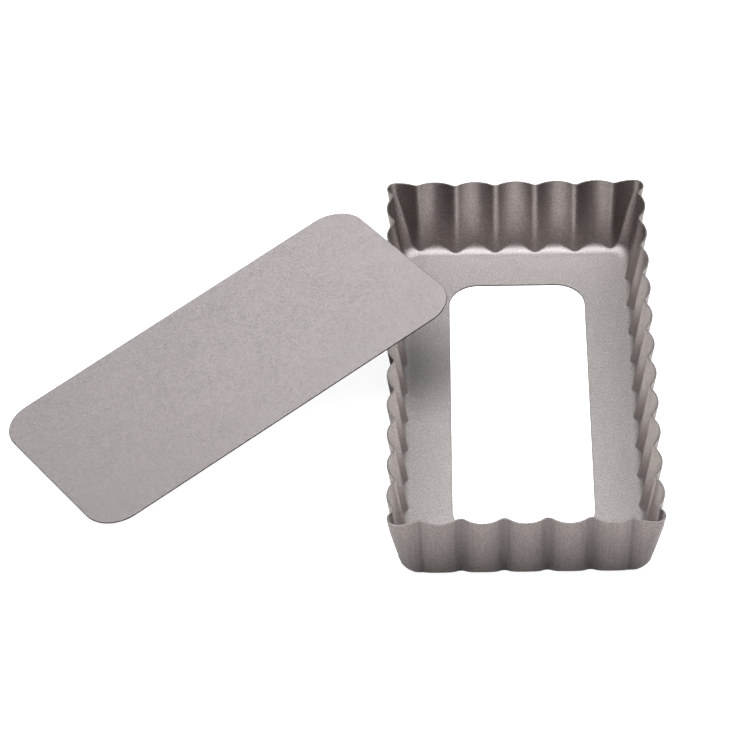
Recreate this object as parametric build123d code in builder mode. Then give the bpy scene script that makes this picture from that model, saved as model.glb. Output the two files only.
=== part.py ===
"""Rectangular fluted tart pan with a loose base.

Two pieces of pressed, coated sheet steel: a fluted ring whose wall turns in at the bottom
to a flat ledge, and a flat loose base that drops onto that ledge.

Frame: millimetres, +Z up. The origin is the centre of the ring's footprint on the table.
+Y runs along the length of the ring and +X across it.
"""

from build123d import *
from math import atan2, cos, hypot, radians, sin, sqrt, tan
import os

# Ring
SHEET = 0.6
RING_LENGTH = 200.0
RING_WIDTH = 107.0
RING_HEIGHT = 34.0
FLARE = 8.0  # degrees that the wall leans outward
FLOOR_FILLET = 5.6  # outer radius where the wall turns in to the ledge
FLOOR_CORNER = 10.0  # plan radius of the ring's corners at the floor
RIM_CORNER = 3.0  # plan radius of the ring's corners at the rim, outside the flutes
BOWL_CLEARANCE = 0.15  # how far the plain bowl stands outside the lobe crests

# Flutes: wide lobes bulge outward, and narrow ridges between them point inward
FLUTE_DEPTH = 2.7
RIDGE_RADIUS = 2.5
FLUTE_PITCH = 16.7
LONG_RIDGES = 12
SHORT_RIDGES = 6

# The ridge beside a corner is shallower and stands a little nearer the middle of its side
END_RISE_RIM = 0.65
END_SHIFT_RIM = 0.65
LONG_END_RISE_FLOOR = 1.8
LONG_END_SHIFT_FLOOR = 0.8
SHORT_END_RISE_FLOOR = 1.1
SHORT_END_SHIFT_FLOOR = 1.8

# Opening in the ledge, which the loose base covers
OPENING_LENGTH = 144.0
OPENING_WIDTH = 56.0
OPENING_CORNER = 12.0

# Loose base
BASE_LENGTH = 173.6
BASE_WIDTH = 87.8
BASE_CORNER = 14.4

# The loose base leans across the left rim of the ring, with its lowest corner on the table
BASE_CENTRE_X = -117.7
BASE_CENTRE_Y = 6.0
BASE_TURN = 35.0  # degrees from +X towards +Y
BASE_CLIMB = 10.22  # degrees that its length climbs towards the ring
BASE_ROLL = -7.1  # degrees that it turns about its own length
TABLE_GAP = 0.02

# The raw rim is cut square to the leaning wall, so the lobes end lower than the ridges
RIM_CUT_DEPTH = 1.0

# Turning directions of the arcs, going round the outline from +X to +Y
LOBE = 1
RIDGE = -1


def ridge_circles(count, crest, climb, floor_shift, floor_rise, radius):
    """Ridge centres of half a side, from its middle outward, as (along, outward).

    climb is 0 at the floor and 1 at the rim.
    """
    outward = crest - FLUTE_DEPTH + radius
    centres = [((i + 0.5) * FLUTE_PITCH, outward) for i in range(count // 2)]
    last_along, last_outward = centres.pop()
    shift = floor_shift + (END_SHIFT_RIM - floor_shift) * climb
    rise = floor_rise + (END_RISE_RIM - floor_rise) * climb
    return centres + [(last_along - shift, last_outward + rise)]


def lobe_centre(first, second, reach):
    """Centre of the lobe that touches two ridges, both `reach` away from it."""
    run = second[0] - first[0]
    rise = second[1] - first[1]
    span = hypot(run, rise)
    height = sqrt(reach**2 - (span / 2) ** 2)
    along = (first[0] + second[0]) / 2 + rise / span * height
    outward = (first[1] + second[1]) / 2 - run / span * height
    return along, outward


def side_circles(ridges, ridge_radius):
    """Lobes and ridges of half a side, from its middle outward, as (along, outward, radius, turn)."""
    reach = ((FLUTE_PITCH / 2) ** 2 + FLUTE_DEPTH**2) / (2 * FLUTE_DEPTH)
    circles = []
    previous = (-ridges[0][0], ridges[0][1])
    for ridge in ridges:
        circles.append((*lobe_centre(previous, ridge, reach), reach - ridge_radius, LOBE))
        circles.append((*ridge, ridge_radius, RIDGE))
        previous = ridge
    return circles


def corner_circles(long_ridge, short_ridge, crest_x, crest_y, ridge_radius):
    """The corner lobe: a tight arc beside the long side, then a wide one to the short side."""
    gap_x = long_ridge[0] - crest_x
    reach_y = crest_y - long_ridge[1]
    half_b = gap_x - reach_y - ridge_radius
    tight = -half_b - sqrt(half_b**2 - gap_x**2 - reach_y**2 + ridge_radius**2)
    gap_y = short_ridge[1] - crest_y
    run = crest_x - tight - short_ridge[0]
    wide = (run**2 + gap_y**2 - ridge_radius**2) / (2 * (ridge_radius - gap_y))
    return [
        (crest_x - tight, crest_y - tight, tight, LOBE),
        (crest_x - tight, crest_y - wide, wide, LOBE),
    ]


def fluted_circles(height, inset):
    """Circles of one quarter of the fluted outline, in order from +X round to +Y.

    Each is (centre x, centre y, radius, turn). inset moves the outline in through the sheet.
    """
    lean = (RING_HEIGHT - height) * tan(radians(FLARE)) + inset / cos(radians(FLARE))
    crest_x = RING_WIDTH / 2 - lean
    crest_y = RING_LENGTH / 2 - lean
    climb = height / RING_HEIGHT
    radius = RIDGE_RADIUS + inset
    long_ridges = ridge_circles(
        LONG_RIDGES, crest_x, climb, LONG_END_SHIFT_FLOOR, LONG_END_RISE_FLOOR, radius
    )
    short_ridges = ridge_circles(
        SHORT_RIDGES, crest_y, climb, SHORT_END_SHIFT_FLOOR, SHORT_END_RISE_FLOOR, radius
    )
    long_side = [(out, along, r, turn) for along, out, r, turn in side_circles(long_ridges, radius)]
    short_side = side_circles(short_ridges, radius)
    corner = corner_circles(long_side[-1], short_side[-1], crest_x, crest_y, radius)
    return long_side + corner + short_side[::-1]


def touch_point(first, second):
    """Point where two neighbouring circles of the outline touch."""
    if first[3] == second[3]:
        return first[0], first[1] + first[2]
    share = first[2] / (first[2] + second[2])
    return first[0] + (second[0] - first[0]) * share, first[1] + (second[1] - first[1]) * share


def middle_of_arc(circle, start, end):
    """Point halfway along the arc of a circle from start to end, in its turning direction."""
    x, y, radius, turn = circle
    first = atan2(start[1] - y, start[0] - x)
    last = atan2(end[1] - y, end[0] - x)
    full_turn = radians(360)
    sweep = (last - first) * turn % full_turn
    angle = first + turn * sweep / 2
    return x + radius * cos(angle), y + radius * sin(angle)


def fluted_section(height, inset):
    """Face bounded by the fluted outline of the wall at a height."""
    circles = fluted_circles(height, inset)
    points = [(circles[0][0] + circles[0][2], 0)]
    points += [touch_point(a, b) for a, b in zip(circles, circles[1:])]
    points.append((0, circles[-1][1] + circles[-1][2]))
    with BuildSketch(Plane.XY.offset(height)) as section:
        with BuildLine():
            for circle, start, end in zip(circles, points, points[1:]):
                ThreePointArc(start, middle_of_arc(circle, start, end), end)
            mirror(about=Plane.YZ)
            mirror(about=Plane.XZ)
        make_face()
    return section.sketch


def ring_body(inset):
    """Solid inside the ring's outer skin (inset 0) or inside its inner skin (inset SHEET)."""
    lean = RING_HEIGHT * tan(radians(FLARE))
    side_gap = BOWL_CLEARANCE - inset / cos(radians(FLARE))
    with BuildPart() as body:
        # plain bowl with rounded corners and a rounded foot
        floor_lean = lean * (1 - inset / RING_HEIGHT)
        with BuildSketch(Plane.XY.offset(inset)) as floor:
            RectangleRounded(
                RING_WIDTH + 2 * (side_gap - floor_lean),
                RING_LENGTH + 2 * (side_gap - floor_lean),
                FLOOR_CORNER - inset,
            )
        with BuildSketch(Plane.XY.offset(RING_HEIGHT)) as rim:
            RectangleRounded(
                RING_WIDTH + 2 * side_gap,
                RING_LENGTH + 2 * side_gap,
                RIM_CORNER - inset,
            )
        loft(ruled=True)
        fillet(body.faces().sort_by(Axis.Z)[0].edges(), FLOOR_FILLET - inset)
        # the flutes cut into it
        loft(
            sections=[fluted_section(0, inset), fluted_section(RING_HEIGHT, inset)],
            ruled=True,
            mode=Mode.INTERSECT,
        )
    return body.part


with BuildPart() as fluted_ring:
    add(ring_body(0))
    add(ring_body(SHEET), mode=Mode.SUBTRACT)
    # opening in the ledge
    with BuildSketch() as opening:
        RectangleRounded(OPENING_WIDTH, OPENING_LENGTH, OPENING_CORNER)
    extrude(amount=SHEET, mode=Mode.SUBTRACT)
    # rim cut: a low roof that slopes down outward from the line of the ridges
    ridge_line = -2 * FLUTE_DEPTH
    roof_run = 2 * RIM_CUT_DEPTH / tan(radians(FLARE))
    with BuildSketch():
        Rectangle(RING_WIDTH + ridge_line + roof_run, RING_LENGTH + ridge_line + roof_run)
    with BuildSketch(Plane.XY.offset(RING_HEIGHT - RIM_CUT_DEPTH)):
        Rectangle(RING_WIDTH + ridge_line + roof_run, RING_LENGTH + ridge_line + roof_run)
    with BuildSketch(Plane.XY.offset(RING_HEIGHT)):
        Rectangle(RING_WIDTH + ridge_line, RING_LENGTH + ridge_line)
    loft(ruled=True, mode=Mode.INTERSECT)

turned = (
    Location((0, 0, 0), (0, 0, BASE_TURN))
    * Location((0, 0, 0), (0, -BASE_CLIMB, 0))
    * Location((0, 0, 0), (BASE_ROLL, 0, 0))
)
underside = Plane(turned)
drop_along = (BASE_LENGTH / 2 - BASE_CORNER) * abs(underside.x_dir.Z)
drop_across = (BASE_WIDTH / 2 - BASE_CORNER) * abs(underside.y_dir.Z)
drop_corner = BASE_CORNER * hypot(underside.x_dir.Z, underside.y_dir.Z)
centre_height = drop_along + drop_across + drop_corner + TABLE_GAP
underside = Plane(Location((BASE_CENTRE_X, BASE_CENTRE_Y, centre_height)) * turned)

with BuildPart() as loose_base:
    with BuildSketch(underside):
        RectangleRounded(BASE_LENGTH, BASE_WIDTH, BASE_CORNER)
    extrude(amount=SHEET)

fluted_ring.part.label = "fluted_ring"
loose_base.part.label = "loose_base"

os.makedirs("parts", exist_ok=True)
export_step(fluted_ring.part, "parts/fluted_ring.step")
export_step(loose_base.part, "parts/loose_base.step")
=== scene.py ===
"""Looks of the rectangular fluted tart pan with a loose base.

Two pieces of pressed sheet steel with a satin grey non-stick coating: the fluted ring, and
the loose base that leans across the ring's left rim. Dimensions are in millimetres in the
frame of the CAD part, and become metres when a mesh is made. All materials are procedural.
"""

import bpy
import numpy as np
from math import atan2, cos, hypot, pi, radians, sin, sqrt, tan
from mathutils import Matrix, Vector


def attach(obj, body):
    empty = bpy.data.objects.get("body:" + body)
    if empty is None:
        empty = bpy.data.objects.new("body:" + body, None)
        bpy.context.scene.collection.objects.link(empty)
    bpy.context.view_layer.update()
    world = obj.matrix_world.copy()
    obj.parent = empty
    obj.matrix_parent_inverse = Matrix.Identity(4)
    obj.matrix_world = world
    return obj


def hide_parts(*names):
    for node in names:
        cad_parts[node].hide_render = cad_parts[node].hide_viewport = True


MM = 0.001  # metres
TINY = 1e-9

# Ring, as in the CAD part
SHEET = 0.6
RING_LENGTH = 200.0
RING_WIDTH = 107.0
RING_HEIGHT = 34.0
FLARE = radians(8.0)
FLOOR_FILLET = 5.6
FLOOR_CORNER = 10.0
RIM_CORNER = 3.0
BOWL_CLEARANCE = 0.15
FLUTE_DEPTH = 2.7
RIDGE_RADIUS = 2.5
FLUTE_PITCH = 16.7
LONG_RIDGES = 12
SHORT_RIDGES = 6
END_RISE_RIM = 0.65
END_SHIFT_RIM = 0.65
LONG_END_RISE_FLOOR = 1.8
LONG_END_SHIFT_FLOOR = 0.8
SHORT_END_RISE_FLOOR = 1.1
SHORT_END_SHIFT_FLOOR = 1.8
OPENING_HALF = np.array([28.0, 72.0])
OPENING_CORNER = 12.0

# Loose base, as in the CAD part
BASE_HALF = np.array([86.8, 43.9])
BASE_CORNER = 14.4
BASE_CENTRE_X = -117.7
BASE_CENTRE_Y = 6.0
BASE_TURN = radians(35.0)
BASE_CLIMB = radians(10.22)
BASE_ROLL = radians(-7.1)
TABLE_GAP = 0.02

# Mesh
LOBE_STEPS = 14
RIDGE_STEPS = 10
CORNER_STEPS = 14
WALL_STEPS = 24
WALL_CROWDING = 1.5  # above 1 the rows of the wall crowd toward the rim
FILLET_STEPS = 12
LIP_STEPS = 8
BASE_CORNER_STEPS = 16
BASE_SIDE_STEPS = 12
RIM_PASSES = 4  # rounds of working out the height of the rim
RIM_STEP = 1.0  # how far below the rim the lean of the wall is measured
LEDGE_ROWS = np.array([0.25, 0.7, 1.5, 3.0, 6.0, 10.0])  # distances in from an edge
CREASE_OUTSIDE = 1.1  # how widely the flutes blend into the rounded foot
CREASE_INSIDE = 0.5
LIP_ROUND = 0.22  # rounding of a raw sheet edge
LIP_POWER = 0.6  # below 1 the raw edge is flatter than a half circle

# What the points carry
WEAR_REACH = 0.9  # how far from a raw edge the coating is chipped
CUT_POWER = 0.4  # below 1 the bare cut face reaches closer to its corners
DRAWN_POWER = 0.5  # how the drawing lines fade round the foot
FORMED_POWER = 3.0  # how the pressed wall's sheen fades round the foot
RIM_BARE = 0.4  # the rim is mostly coated over, the other cut faces are bare
# painted light: the base's colour grows lighter toward its far ends
BASE_PAINTED_LIGHT = np.array([0.12, 0.05])  # how much lighter the base is at its far ends

# Coating
RING_COLOUR = (0.355, 0.338, 0.334, 1.0)
BASE_COLOUR = (0.385, 0.358, 0.36, 1.0)
# painted shade: the pressed wall is darkened, besides being browner than the flat ledge
WALL_TINT_AND_PAINTED_SHADE = (0.83, 0.78, 0.755, 1.0)  # the pressed wall is browner than the flat ledge
RUBBED_COLOUR = (0.04, 0.032, 0.029, 1.0)  # bare cut face, dulled by the oven
CHIP_COLOUR = (0.08, 0.068, 0.062, 1.0)  # specks where the coating is gone
METALLIC = 0.95
RING_GRAIN = 0.2  # strength of the speckle
BASE_GRAIN = 0.1
RING_LINES = 0.06  # strength of the drawing lines on the outside of the wall
LINE_STRETCH = 0.03  # below 1 the drawing lines are longer than they are wide
CLOUD_CONTRAST = 0.015
# painted shade: the outside of the wall is darkened all over, more in its grooves and toward its
# foot
OUTSIDE_PAINTED_SHADE = 0.76
GROOVE_PAINTED_SHADE = 0.25
GROOVE_POWER = 1.5
FOOT_PAINTED_SHADE = 0.35
CHIP_STRENGTH = 0.5
CHIP_POWER = 3.0  # how closely the chips keep to an edge
ROUGH_FLAKE = 0.52
ROUGH_BINDER = 0.7
ROUGH_WALL = 0.4
ROUGH_SPREAD = 0.015
GRAIN_RELIEF = 0.7
FLAKE_RELIEF = 0.3
LINE_RELIEF = 1.5
BUMP_STRENGTH = 0.25
WALL_BUMP_STRENGTH = 0.2
BUMP_DEPTH = 0.00003

# Patterns of the coating: flakes per metre, and noises as (scale per metre, detail, roughness)
FLAKE_SCALE = 3600.0
GRAIN = (1600.0, 3.0, 0.7)
CLOUDS = (22.0, 3.0, 0.6)
GLOSS = (66.0, 2.0, 0.5)
LINES = (1500.0, 3.0, 0.65)
CHIPS = (700.0, 2.0, 0.6)

# Ranges of those patterns that are put to use
NOISE_RANGE = (0.3, 0.7)
LINE_RANGE = (0.35, 0.65)
CHIP_RANGE = (0.6, 0.7)
FLAKE_RANGE = (0.1, 0.6)

# Stage, in metres
FLOOR_SIZE = 8.0
FLOOR_SHADE = 0.8  # as reflections see it
FLOOR_SHADE_SEEN = 0.35  # as the camera sees it, besides its glow
FLOOR_GLOW = 0.92
WORLD_DIM = 0.1
WORLD_FRONT = 0.6
LAMP_PLACE = (0.1, -0.05, 1.2)
LAMP_WIDTH = 2.2
LAMP_DEPTH = 1.0
LAMP_POWER = 48.0
DISPLAY_GAMMA = 0.85  # below 1 deepens the shadows

# Camera, in metres and as it turns from the pan's own axes
CAMERA_PLACE = Vector((-0.03081, -1.18108, 1.13941))
CAMERA_TURN = radians(1.339)
CAMERA_TILT = radians(46.497)
CAMERA_ROLL = radians(-1.697)
CAMERA_LENS = 194.63
CAMERA_SENSOR = 36.0
CAMERA_REACH = 10.0  # nothing farther than this is drawn

LOBE = 1
RIDGE = -1


# --- Plan outline of the fluted wall -------------------------------------------------------


def ridge_circles(count, crest, climb, floor_shift, floor_rise, radius):
    """Ridge centres of half a side, from its middle outward, as (along, outward)."""
    outward = crest - FLUTE_DEPTH + radius
    centres = [((i + 0.5) * FLUTE_PITCH, outward) for i in range(count // 2)]
    last_along, last_outward = centres.pop()
    shift = floor_shift + (END_SHIFT_RIM - floor_shift) * climb
    rise = floor_rise + (END_RISE_RIM - floor_rise) * climb
    return centres + [(last_along - shift, last_outward + rise)]


def lobe_centre(first, second, reach):
    """Centre of the lobe that touches two ridges, both `reach` away from it."""
    run = second[0] - first[0]
    rise = second[1] - first[1]
    span = hypot(run, rise)
    height = sqrt(reach**2 - (span / 2) ** 2)
    along = (first[0] + second[0]) / 2 + rise / span * height
    outward = (first[1] + second[1]) / 2 - run / span * height
    return along, outward


def side_circles(ridges, ridge_radius):
    """Lobes and ridges of half a side as (along, outward, radius, turn, steps)."""
    reach = ((FLUTE_PITCH / 2) ** 2 + FLUTE_DEPTH**2) / (2 * FLUTE_DEPTH)
    circles = []
    previous = (-ridges[0][0], ridges[0][1])
    for ridge in ridges:
        lobe = lobe_centre(previous, ridge, reach)
        circles.append((*lobe, reach - ridge_radius, LOBE, LOBE_STEPS))
        circles.append((*ridge, ridge_radius, RIDGE, RIDGE_STEPS))
        previous = ridge
    return circles


def corner_circles(long_ridge, short_ridge, crest_x, crest_y, ridge_radius):
    """The corner lobe: a tight arc beside the long side, then a wide one to the short side."""
    gap_x = long_ridge[0] - crest_x
    reach_y = crest_y - long_ridge[1]
    half_b = gap_x - reach_y - ridge_radius
    tight = -half_b - sqrt(half_b**2 - gap_x**2 - reach_y**2 + ridge_radius**2)
    gap_y = short_ridge[1] - crest_y
    run = crest_x - tight - short_ridge[0]
    wide = (run**2 + gap_y**2 - ridge_radius**2) / (2 * (ridge_radius - gap_y))
    return [
        (crest_x - tight, crest_y - tight, tight, LOBE, CORNER_STEPS),
        (crest_x - tight, crest_y - wide, wide, LOBE, CORNER_STEPS),
    ]


def fluted_circles(height, inset):
    """Circles of one quarter of the outline, in order from +X round to +Y."""
    lean = (RING_HEIGHT - height) * tan(FLARE) + inset / cos(FLARE)
    crest_x = RING_WIDTH / 2 - lean
    crest_y = RING_LENGTH / 2 - lean
    climb = height / RING_HEIGHT
    radius = RIDGE_RADIUS + inset
    long_ridges = ridge_circles(
        LONG_RIDGES, crest_x, climb, LONG_END_SHIFT_FLOOR, LONG_END_RISE_FLOOR, radius
    )
    short_ridges = ridge_circles(
        SHORT_RIDGES, crest_y, climb, SHORT_END_SHIFT_FLOOR, SHORT_END_RISE_FLOOR, radius
    )
    long_side = [(out, along, *rest) for along, out, *rest in side_circles(long_ridges, radius)]
    short_side = side_circles(short_ridges, radius)
    corner = corner_circles(long_side[-1], short_side[-1], crest_x, crest_y, radius)
    return long_side + corner + short_side[::-1]


def touch_point(first, second):
    """Point where two neighbouring circles of the outline touch."""
    if first[3] == second[3]:
        return first[0], first[1] + first[2]
    share = first[2] / (first[2] + second[2])
    return first[0] + (second[0] - first[0]) * share, first[1] + (second[1] - first[1]) * share


def mirrored(quarter, signs_x, signs_y):
    """Whole closed outline from one quarter, with the given signs for each mirror."""
    half = np.vstack([quarter, (quarter[:-1] * signs_x)[::-1]])
    return np.vstack([half, (half[1:-1] * signs_y)[::-1]])


def fluted_outline(height, inset):
    """Closed outline at a height as (columns, 2), with how far each column is into a lobe."""
    circles = fluted_circles(height, inset)
    points = [(circles[0][0] + circles[0][2], 0)]
    points += [touch_point(a, b) for a, b in zip(circles, circles[1:])]
    points.append((0, circles[-1][1] + circles[-1][2]))
    quarter, lobes = [], []
    for (x, y, radius, turn, steps), start, end in zip(circles, points, points[1:]):
        first = atan2(start[1] - y, start[0] - x)
        last = atan2(end[1] - y, end[0] - x)
        sweep = (last - first) * turn % (2 * pi)
        share = np.arange(steps) / steps
        angle = first + turn * sweep * share
        quarter.append(np.column_stack([x + radius * np.cos(angle), y + radius * np.sin(angle)]))
        lobes.append(turn * np.sin(pi * share))
    quarter.append(np.array([points[-1]]))
    lobes.append(np.array([1.0]))
    # the first and last lobes of a quarter are halves, so their waves start and end at the crest
    lobes[0] = np.cos(pi / 2 * np.arange(LOBE_STEPS) / LOBE_STEPS)
    lobes[-2] = np.sin(pi / 2 * np.arange(LOBE_STEPS) / LOBE_STEPS)
    outline = mirrored(np.vstack(quarter), (-1, 1), (1, -1))
    wave = mirrored(np.concatenate(lobes)[:, None], 1, 1)[:, 0]
    return outline, wave


# --- Rounded rectangles --------------------------------------------------------------------


def rectangle_reach(points, half, corner):
    """Signed distance of points outside a rounded rectangle, and the outward directions."""
    beyond = np.abs(points) - (half - np.expand_dims(corner, -1))
    past = np.maximum(beyond, 0)
    length = np.hypot(past[:, 0], past[:, 1])
    distance = length + np.minimum(beyond.max(axis=1), 0) - corner
    along_x = (beyond[:, 0] > beyond[:, 1]).astype(float)
    flat = np.column_stack([along_x, 1 - along_x])
    in_corner = (length > TINY)[:, None]
    direction = np.where(in_corner, past / np.maximum(length, TINY)[:, None], flat)
    return distance, direction * np.where(points < 0, -1, 1)


def matched_rectangle(points, half, corner, new_half, new_corner):
    """Points on one rounded rectangle moved to the matching points of another."""
    sign = np.where(points < 0, -1, 1)
    core = half - corner
    new_core = new_half - new_corner
    beyond = np.maximum(np.abs(points) - core, 0)
    angle = np.arctan2(beyond[:, 1], beyond[:, 0])
    on_core = np.minimum(np.abs(points), core) * new_core / core
    reach = new_corner * np.column_stack([np.cos(angle), np.sin(angle)])
    return (on_core + reach) * sign


def rounded_rectangle(half, corner, corner_steps, side_steps):
    """Closed rounded-rectangle outline, with straight sides cut into steps."""
    turns = np.linspace(0, pi / 2, corner_steps + 1)
    arc = corner * np.column_stack([np.cos(turns), np.sin(turns)]) + (half - corner)
    rise = np.linspace(0, half[1] - corner, side_steps, endpoint=False)
    side = np.column_stack([np.full(side_steps, half[0]), rise])
    run = np.linspace(half[0] - corner, 0, side_steps + 1)[1:]
    end = np.column_stack([run, np.full(side_steps, half[1])])
    return mirrored(np.vstack([side, arc, end]), (-1, 1), (1, -1))


# --- Sections of the sheet -----------------------------------------------------------------


def soft_over(distance, softness):
    """Positive part of a distance, rounded off over a softness so that creases stay smooth."""
    return (distance + np.sqrt(distance**2 + softness**2)) / 2


def raw_edge(first, second, outward):
    """Rows across a cut edge of the sheet, from one skin to the other, with rounded corners."""
    middle = (first + second) / 2
    half = (first - second) / 2
    rows = []
    for step in range(1, LIP_STEPS):
        turn = pi * step / LIP_STEPS
        across = abs(cos(turn)) ** LIP_POWER * np.sign(cos(turn))
        drop = LIP_ROUND * (1 - sin(turn) ** LIP_POWER)
        rows.append(middle + half * across - outward * drop)
    return rows


def unit(vectors):
    """Vectors scaled to length one."""
    return vectors / np.linalg.norm(vectors, axis=1, keepdims=True)


class Sheet:
    """Closed loops of points that follow the section of a sheet, with what each point carries."""

    def __init__(self, strands, lobes, painted_light_slope=(0, 0)):
        self.strands = strands
        self.lobes = lobes
        self.painted_light_slope = np.array(painted_light_slope)
        self.rows = []
        self.wear = []
        self.drawn = []
        self.formed = []
        self.cut = []
        self.tone = []

    def add(self, points, distance, drawn=0.0, formed=0.0, cut=0.0):
        """One loop of points, its distance from the nearest raw edge, and shares from 0 to 1.

        Drawn is 1 on the outside of the wall, formed is 1 on both of its sides, and cut is 1
        on the raw face between the two skins.
        """
        count = len(points)
        self.rows.append(points)
        self.wear.append(np.clip(1 - np.broadcast_to(distance, count) / WEAR_REACH, 0, 1))
        self.drawn.append(np.full(count, float(drawn)))
        self.formed.append(np.full(count, float(formed)))
        self.cut.append(np.full(count, float(cut)))
        # painted light: a steady lightening across the sheet's plan
        self.tone.append(1 + points[:, :2] @ self.painted_light_slope)

    def add_raw_edge(self, first, second, outward, bare=1.0):
        """Loops across a cut edge of the sheet, from one skin to the other."""
        for step, loop in enumerate(raw_edge(first, second, outward), 1):
            self.add(loop, 0.0, cut=bare * sin(pi * step / LIP_STEPS) ** CUT_POWER)


def at_height(plan, height):
    """Plan points lifted to a height."""
    return np.column_stack([plan, np.broadcast_to(height, len(plan))])


class Skin:
    """The outer skin of the ring (inset 0) or its inner skin (inset SHEET)."""

    def __init__(self, inset):
        self.inset = inset
        self.low, self.lobes = fluted_outline(0, inset)
        self.high, _ = fluted_outline(RING_HEIGHT, inset)

    def wall(self, height, foot_step=0.0, softness=0.0):
        """Points of the wall at each column's height, kept inside the plain rounded bowl."""
        height = np.broadcast_to(height, len(self.low))
        share = (height / RING_HEIGHT)[:, None]
        points = self.low * (1 - share) + self.high * share
        lean = (RING_HEIGHT - height) * tan(FLARE) + self.inset / cos(FLARE) - BOWL_CLEARANCE
        half = np.array([RING_WIDTH, RING_LENGTH]) / 2 - lean[:, None]
        corner = FLOOR_CORNER + (RIM_CORNER - FLOOR_CORNER) * share[:, 0] - self.inset
        distance, direction = rectangle_reach(points, half, corner)
        move = soft_over(distance + foot_step, softness)
        return at_height(points - direction * move[:, None], height)

    def foot(self, turn):
        """Points of the rounded foot, where turn is -90 degrees at the ledge."""
        radius = FLOOR_FILLET - self.inset
        height = FLOOR_FILLET + radius * sin(turn)
        tangent = FLOOR_FILLET * tan((pi / 2 - FLARE) / 2)
        step = tangent + height * tan(FLARE) - self.inset / cos(FLARE) - radius * cos(turn)
        crease = CREASE_INSIDE if self.inset else CREASE_OUTSIDE
        softness = crease * (-FLARE - turn) / (pi / 2 - FLARE)
        return self.wall(height, step, softness)

    def rim_height(self):
        """Height of each column at the rim, which is cut square to the leaning wall."""
        ridge_line = np.array([RING_WIDTH, RING_LENGTH]) / 2 - FLUTE_DEPTH
        height = np.full(len(self.low), RING_HEIGHT)
        for _ in range(RIM_PASSES):
            past = (np.abs(self.wall(height)[:, :2]) - ridge_line).max(axis=1)
            height = RING_HEIGHT - np.maximum(past, 0) * tan(FLARE)
        return height


def foot_rectangle():
    """Half size and corner radius of the line where the rounded foot meets the flat ledge."""
    step = FLOOR_FILLET * tan((pi / 2 - FLARE) / 2)
    lean = RING_HEIGHT * tan(FLARE) - BOWL_CLEARANCE + step
    return np.array([RING_WIDTH, RING_LENGTH]) / 2 - lean, FLOOR_CORNER - step


def ledge_loops(skin, height):
    """Loops of one skin of the flat ledge, from the opening out, with their distances from it."""
    foot = skin.foot(-pi / 2)[:, :2]
    edge = matched_rectangle(foot, *foot_rectangle(), OPENING_HALF, OPENING_CORNER)
    _, across = rectangle_reach(edge, OPENING_HALF, OPENING_CORNER)
    start = edge + across * LIP_ROUND
    span = np.linalg.norm(foot - start, axis=1)
    loops = [(at_height(start, height), 0)]
    for reach in LEDGE_ROWS:
        share = (reach / span)[:, None]
        loops.append((at_height(start * (1 - share) + foot * share, height), reach))
    return loops, edge, across


def add_wall(sheet, skin, shares, drawn):
    """Loops up or down one skin of the wall, at shares of its height above the foot."""
    start = FLOOR_FILLET - (FLOOR_FILLET - skin.inset) * sin(FLARE)
    top = skin.rim_height() - LIP_ROUND
    for share in shares:
        height = start + (top - start) * share
        sheet.add(skin.wall(height), (top - height) / cos(FLARE), drawn, 1)


def add_foot(sheet, skin, turns, drawn):
    """Loops round one skin of the rounded foot."""
    for turn in turns:
        fade = drawn * cos(turn) ** DRAWN_POWER
        sheet.add(skin.foot(turn), WEAR_REACH, fade, cos(turn) ** FORMED_POWER)


def ring_sheet():
    """The fluted ring as one closed section that goes all round its sheet.

    It runs down the outside, round the foot and in under the ledge to the opening, then back
    over the ledge, up the inside and across the raw rim.
    """
    outer = Skin(0)
    inner = Skin(SHEET)
    sheet = Sheet((outer.low + outer.high) / 2, outer.lobes)
    turns = np.linspace(-FLARE, -pi / 2, FILLET_STEPS + 1)[1:]
    shares = 1 - np.linspace(1, 0, WALL_STEPS + 1) ** WALL_CROWDING

    add_wall(sheet, outer, shares[::-1], 1)
    add_foot(sheet, outer, turns, 1)
    under, edge, across = ledge_loops(outer, 0)
    for loop, reach in under[::-1]:
        sheet.add(loop, reach)
    sheet.add_raw_edge(at_height(edge, 0), at_height(edge, SHEET), at_height(-across, 0))

    over, _, _ = ledge_loops(inner, SHEET)
    for loop, reach in over:
        sheet.add(loop, reach)
    add_foot(sheet, inner, turns[::-1], 0)
    add_wall(sheet, inner, shares, 0)
    top_outer = outer.wall(outer.rim_height())
    top_inner = inner.wall(inner.rim_height())
    below = outer.wall(outer.rim_height() - RIM_STEP)
    sheet.add_raw_edge(top_inner, top_outer, unit(top_outer - below), RIM_BARE)
    return sheet


def base_sheet():
    """The loose base, flat in its own frame, from the middle of its top to that of its foot."""
    rim = rounded_rectangle(BASE_HALF, BASE_CORNER, BASE_CORNER_STEPS, BASE_SIDE_STEPS)
    sheet = Sheet(rim, np.zeros(len(rim)), BASE_PAINTED_LIGHT / BASE_HALF)
    insets = np.append(LEDGE_ROWS[::-1], 0)
    _, across = rectangle_reach(rim, BASE_HALF, BASE_CORNER)
    inner = rim - across * LIP_ROUND
    for inset in insets:
        sheet.add(at_height(inner - across * inset, SHEET), inset)
    sheet.add_raw_edge(at_height(rim, SHEET), at_height(rim, 0), at_height(across, 0))
    for inset in insets[::-1]:
        sheet.add(at_height(inner - across * inset, 0), inset)
    return sheet


def base_place():
    """Where the loose base leans across the ring's left rim, with its low corner on the table."""
    turned = (
        Matrix.Rotation(BASE_TURN, 4, "Z")
        @ Matrix.Rotation(-BASE_CLIMB, 4, "Y")
        @ Matrix.Rotation(BASE_ROLL, 4, "X")
    )
    along = turned.col[0]
    across = turned.col[1]
    straight = BASE_HALF - BASE_CORNER
    drop = straight[0] * abs(along.z) + straight[1] * abs(across.z)
    drop += BASE_CORNER * hypot(along.z, across.z)
    centre = Vector((BASE_CENTRE_X, BASE_CENTRE_Y, drop + TABLE_GAP))
    return Matrix.Translation(centre) @ turned


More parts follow.
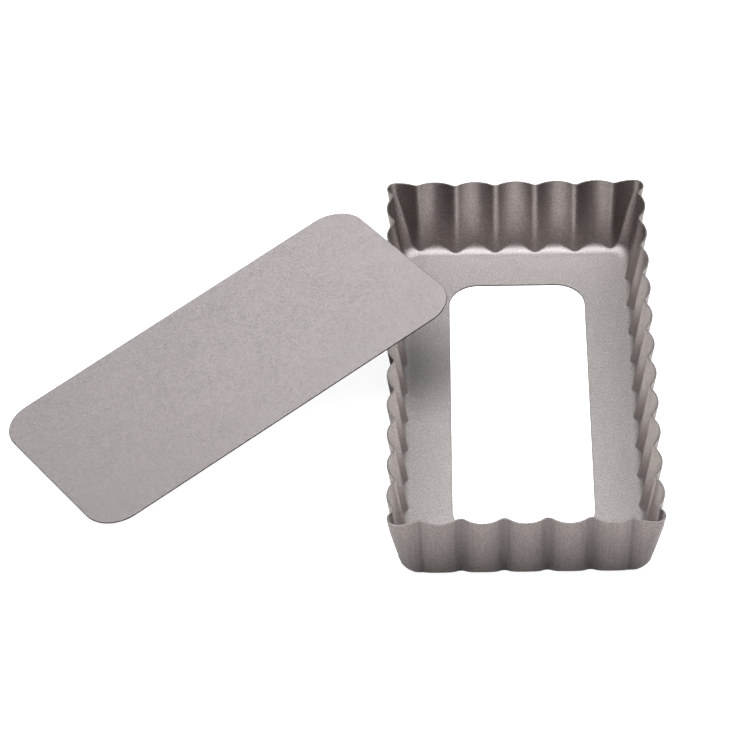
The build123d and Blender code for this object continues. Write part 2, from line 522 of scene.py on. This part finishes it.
def make_piece(name, sheet, closed, place, material):
    """Mesh object from a sheet's loops of points. An open sheet gets a flat cap at each end."""
    rows = len(sheet.rows)
    columns = len(sheet.rows[0])
    points = np.vstack(sheet.rows)
    index = np.arange(rows * columns).reshape(rows, columns)
    if closed:
        index = np.vstack([index, index[:1]])
    side = np.roll(index, -1, axis=1)
    faces = np.stack([index[:-1], side[:-1], side[1:], index[1:]], axis=-1)
    faces = faces.reshape(-1, 4).tolist()
    if not closed:
        faces += [index[0, ::-1].tolist(), index[-1].tolist()]
    rotation = np.array(place.to_3x3())
    points = points @ rotation.T + np.array(place.translation)
    mesh = bpy.data.meshes.new(name)
    mesh.from_pydata((points * MM).tolist(), [], faces)
    strands = at_height(np.tile(sheet.strands * MM, (rows, 1)), points[:, 2] * MM)
    attributes = {
        "wear": ("FLOAT", "value", np.concatenate(sheet.wear)),
        "drawn": ("FLOAT", "value", np.concatenate(sheet.drawn)),
        "formed": ("FLOAT", "value", np.concatenate(sheet.formed)),
        "cut": ("FLOAT", "value", np.concatenate(sheet.cut)),
        "tone": ("FLOAT", "value", np.concatenate(sheet.tone)),
        "lobe": ("FLOAT", "value", np.tile(sheet.lobes, rows)),
        "strand": ("FLOAT_VECTOR", "vector", strands),
    }
    for attribute_name, (kind, field, values) in attributes.items():
        attribute = mesh.attributes.new(attribute_name, kind, "POINT")
        attribute.data.foreach_set(field, np.asarray(values, np.float32).ravel())
    mesh.shade_smooth()
    mesh.validate()
    mesh.materials.append(material)
    piece = bpy.data.objects.new(name, mesh)
    bpy.context.scene.collection.objects.link(piece)
    return piece


# --- Materials -----------------------------------------------------------------------------


def add_node(tree, kind, inputs=(), **settings):
    """A new node with its settings, and its inputs set to values or linked from sockets."""
    made = tree.nodes.new(kind)
    for key, value in settings.items():
        setattr(made, key, value)
    for key, value in dict(inputs).items():
        if isinstance(value, bpy.types.NodeSocket):
            tree.links.new(value, made.inputs[key])
        else:
            made.inputs[key].default_value = value
    return made


def maths(tree, operation, first, second=0.0):
    """Result of a sum on two sockets or values."""
    return add_node(tree, "ShaderNodeMath", {0: first, 1: second}, operation=operation).outputs[0]


def noise(tree, vector, pattern):
    """Value of a noise between 0 and 1, for a pattern of (scale, detail, roughness)."""
    scale, detail, roughness = pattern
    inputs = {"Vector": vector, "Scale": scale, "Detail": detail, "Roughness": roughness}
    return add_node(tree, "ShaderNodeTexNoise", inputs).outputs["Fac"]


def ranged(tree, value, low, high, new_low, new_high):
    """A value mapped from one range to another, held inside it."""
    inputs = {0: value, 1: low, 2: high, 3: new_low, 4: new_high}
    return add_node(tree, "ShaderNodeMapRange", inputs).outputs[0]


def spread(tree, value, old_range, middle, reach):
    """A value mapped from a range to one that reaches as far on both sides of a middle."""
    return ranged(tree, value, *old_range, middle - reach, middle + reach)


def mixed(tree, share, first, second, blend="MIX"):
    """Two colours mixed by a share."""
    inputs = {0: share, 6: first, 7: second}
    made = add_node(tree, "ShaderNodeMix", inputs, data_type="RGBA", blend_type=blend)
    return made.outputs[2]


def carried(tree, name, field="Fac"):
    """What a mesh's points carry under a name."""
    made = add_node(tree, "ShaderNodeAttribute", attribute_name=name)
    return made.outputs[field]


def grey(value):
    """A neutral colour with its alpha."""
    return (value, value, value, 1.0)


def drawing_lines(tree):
    """Fine lines that run up the wall, as a value between 0 and 1."""
    strand = carried(tree, "strand", "Vector")
    inputs = {"Vector": strand, "Scale": (1.0, 1.0, LINE_STRETCH)}
    stretched = add_node(tree, "ShaderNodeMapping", inputs).outputs[0]
    return noise(tree, stretched, LINES)


def coating_shade(tree, place, flake, grain, grain_strength):
    """Brightness from flakes, fine grain, slow clouds and painted light along the base."""
    shade = spread(tree, flake, (0.0, 1.0), 1, grain_strength)
    shade = maths(tree, "MULTIPLY", shade, spread(tree, grain, NOISE_RANGE, 1, grain_strength))
    clouds = spread(tree, noise(tree, place, CLOUDS), NOISE_RANGE, 1, CLOUD_CONTRAST)
    shade = maths(tree, "MULTIPLY", shade, clouds)
    # painted light along the base
    return maths(tree, "MULTIPLY", shade, carried(tree, "tone"))


def outside_lines_and_painted_shade(tree, drawn, lines, line_strength):
    """Drawing lines of the outside, and painted shade, deeper in the grooves and toward the foot.
    """
    streaks = spread(tree, lines, LINE_RANGE, 0, 1)
    streaks = maths(tree, "MULTIPLY", streaks, maths(tree, "MULTIPLY", drawn, line_strength))
    # painted shade in the grooves of the outside
    painted_groove_shade = ranged(tree, carried(tree, "lobe"), 0.0, -1.0, 0.0, 1.0)
    painted_groove_shade = maths(tree, "MULTIPLY", maths(tree, "POWER", painted_groove_shade, GROOVE_POWER), drawn)
    painted_groove_shade = ranged(tree, painted_groove_shade, 0.0, 1.0, 1.0, 1 - GROOVE_PAINTED_SHADE)
    strand = carried(tree, "strand", "Vector")
    height = add_node(tree, "ShaderNodeSeparateXYZ", {0: strand}).outputs[2]
    # painted shade, deeper toward the foot
    low = ranged(tree, height, 0.0, RING_HEIGHT * MM, FOOT_PAINTED_SHADE, 0.0)
    low = maths(tree, "SUBTRACT", 1.0, maths(tree, "MULTIPLY", low, drawn))
    # painted shade over the whole outside of the wall
    low = maths(tree, "MULTIPLY", low, ranged(tree, drawn, 0.0, 1.0, 1.0, OUTSIDE_PAINTED_SHADE))
    shade = maths(tree, "MULTIPLY", painted_groove_shade, low)
    return maths(tree, "MULTIPLY", shade, maths(tree, "ADD", streaks, 1.0))


def worn_edges(tree, place, coating):
    """The coating's colour with bare cut faces, and with small chips beside them."""
    wear = maths(tree, "POWER", carried(tree, "wear"), CHIP_POWER)
    chip = ranged(tree, noise(tree, place, CHIPS), *CHIP_RANGE, 0.0, CHIP_STRENGTH)
    coating = mixed(tree, carried(tree, "cut"), coating, RUBBED_COLOUR)
    return mixed(tree, maths(tree, "MULTIPLY", chip, wear), coating, CHIP_COLOUR)


def sheen(tree, place, flake, formed):
    """Roughness of the satin coating, smoother where the wall was pressed."""
    flat = ranged(tree, flake, *FLAKE_RANGE, ROUGH_FLAKE, ROUGH_BINDER)
    rough = maths(tree, "MULTIPLY", flat, maths(tree, "SUBTRACT", 1.0, formed))
    rough = maths(tree, "ADD", rough, maths(tree, "MULTIPLY", formed, ROUGH_WALL))
    uneven = spread(tree, noise(tree, place, GLOSS), NOISE_RANGE, 0, ROUGH_SPREAD)
    return maths(tree, "ADD", rough, uneven)


def pebbled_skin(tree, flake, grain, lines, drawn, formed):
    """Normals of the coating's pebbled skin and of the relief of the drawing lines."""
    height = maths(tree, "MULTIPLY", grain, GRAIN_RELIEF)
    height = maths(tree, "ADD", height, maths(tree, "MULTIPLY", flake, FLAKE_RELIEF))
    line_height = maths(tree, "MULTIPLY", lines, maths(tree, "MULTIPLY", drawn, LINE_RELIEF))
    height = maths(tree, "ADD", height, line_height)
    strength = ranged(tree, formed, 0.0, 1.0, BUMP_STRENGTH, WALL_BUMP_STRENGTH)
    inputs = {"Height": height, "Strength": strength, "Distance": BUMP_DEPTH}
    return add_node(tree, "ShaderNodeBump", inputs).outputs[0]


def coated_steel(name, colour, grain_strength, line_strength):
    """Satin grey non-stick coating with metal flakes, drawing lines, worn raw edges, painted
    light and shade.
    """
    material = bpy.data.materials.new(name)
    material.use_nodes = True
    tree = material.node_tree
    surface = tree.nodes["Principled BSDF"]
    place = add_node(tree, "ShaderNodeTexCoord").outputs["Object"]
    flakes = add_node(tree, "ShaderNodeTexVoronoi", {"Vector": place, "Scale": FLAKE_SCALE})
    flake = add_node(tree, "ShaderNodeSeparateColor", {0: flakes.outputs["Color"]}).outputs[0]
    grain = noise(tree, place, GRAIN)
    lines = drawing_lines(tree)
    drawn = carried(tree, "drawn")
    formed = carried(tree, "formed")

    shade = coating_shade(tree, place, flake, grain, grain_strength)
    outside = outside_lines_and_painted_shade(tree, drawn, lines, line_strength)
    coating = mixed(tree, 1.0, colour, maths(tree, "MULTIPLY", shade, outside), "MULTIPLY")
    # browner colour and painted shade on the pressed wall
    coating = mixed(tree, formed, coating, WALL_TINT_AND_PAINTED_SHADE, "MULTIPLY")
    skin = pebbled_skin(tree, flake, grain, lines, drawn, formed)
    tree.links.new(worn_edges(tree, place, coating), surface.inputs["Base Color"])
    tree.links.new(sheen(tree, place, flake, formed), surface.inputs["Roughness"])
    tree.links.new(skin, surface.inputs["Normal"])
    surface.inputs["Metallic"].default_value = METALLIC
    return material


# --- Stage ---------------------------------------------------------------------------------


def make_floor():
    """Plain pale floor that is white to the camera and softer in reflections."""
    mesh = bpy.data.meshes.new("floor")
    size = FLOOR_SIZE / 2
    corners = [(-size, -size), (size, -size), (size, size), (-size, size)]
    mesh.from_pydata([(x, y, -TABLE_GAP * MM) for x, y in corners], [], [(0, 1, 2, 3)])
    floor = bpy.data.objects.new("floor", mesh)
    bpy.context.scene.collection.objects.link(floor)
    material = bpy.data.materials.new("floor")
    material.use_nodes = True
    tree = material.node_tree
    tree.nodes.clear()
    seen = add_node(tree, "ShaderNodeLightPath").outputs["Is Camera Ray"]
    paint = mixed(tree, seen, grey(FLOOR_SHADE), grey(FLOOR_SHADE_SEEN))
    matt = add_node(tree, "ShaderNodeBsdfDiffuse", {"Color": paint}).outputs[0]
    strength = maths(tree, "MULTIPLY", seen, FLOOR_GLOW)
    glow = add_node(tree, "ShaderNodeEmission", {"Color": grey(1.0), "Strength": strength})
    both = add_node(tree, "ShaderNodeAddShader", {0: matt, 1: glow.outputs[0]}).outputs[0]
    add_node(tree, "ShaderNodeOutputMaterial", {"Surface": both})
    mesh.materials.append(material)


def make_world():
    """Soft dim surroundings that brighten to the front, and are white to the camera."""
    world = bpy.data.worlds.new("studio")
    bpy.context.scene.world = world
    world.use_nodes = True
    tree = world.node_tree
    background = tree.nodes["Background"]
    background.inputs["Color"].default_value = grey(1.0)
    direction = add_node(tree, "ShaderNodeTexCoord").outputs["Generated"]
    toward_back = add_node(tree, "ShaderNodeSeparateXYZ", {0: direction}).outputs["Y"]
    strength = ranged(tree, toward_back, -1.0, 0.0, WORLD_FRONT, WORLD_DIM)
    seen = add_node(tree, "ShaderNodeLightPath").outputs["Is Camera Ray"]
    strength = maths(tree, "MAXIMUM", strength, seen)
    tree.links.new(strength, background.inputs["Strength"])


def make_lamp():
    """Wide soft lamp overhead, which shines straight down."""
    lamp = bpy.data.lights.new("lamp", "AREA")
    lamp.shape = "RECTANGLE"
    lamp.size = LAMP_WIDTH
    lamp.size_y = LAMP_DEPTH
    lamp.energy = LAMP_POWER
    light = bpy.data.objects.new("lamp", lamp)
    bpy.context.scene.collection.objects.link(light)
    light.location = LAMP_PLACE


def make_camera():
    """Long lens that looks down at the pan from in front."""
    lens = bpy.data.cameras.new("camera")
    lens.sensor_width = CAMERA_SENSOR
    lens.lens = CAMERA_LENS
    lens.clip_end = CAMERA_REACH
    camera = bpy.data.objects.new("camera", lens)
    bpy.context.scene.collection.objects.link(camera)
    camera.matrix_world = (
        Matrix.Translation(CAMERA_PLACE)
        @ Matrix.Rotation(CAMERA_TURN, 4, "Z")
        @ Matrix.Rotation(CAMERA_TILT, 4, "X")
        @ Matrix.Rotation(CAMERA_ROLL, 4, "Z")
    )
    bpy.context.scene.camera = camera


# --- The scene -----------------------------------------------------------------------------

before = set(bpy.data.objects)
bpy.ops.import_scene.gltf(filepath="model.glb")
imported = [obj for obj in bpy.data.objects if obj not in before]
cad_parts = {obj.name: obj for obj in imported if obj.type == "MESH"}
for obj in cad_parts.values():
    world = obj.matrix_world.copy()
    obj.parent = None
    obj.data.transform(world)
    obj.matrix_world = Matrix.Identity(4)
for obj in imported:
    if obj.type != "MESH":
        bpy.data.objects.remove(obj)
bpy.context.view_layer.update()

ring = make_piece(
    "fluted_ring_sheet",
    ring_sheet(),
    True,
    Matrix.Identity(4),
    coated_steel("ring_coating", RING_COLOUR, RING_GRAIN, RING_LINES),
)
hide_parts("fluted_ring")
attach(ring, "ring")

base = make_piece(
    "loose_base_sheet",
    base_sheet(),
    False,
    base_place(),
    coated_steel("base_coating", BASE_COLOUR, BASE_GRAIN, 0.0),
)
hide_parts("loose_base")
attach(base, "base")

make_floor()
make_world()
make_lamp()
make_camera()
bpy.context.scene.view_settings.view_transform = "Standard"
bpy.context.scene.view_settings.gamma = DISPLAY_GAMMA
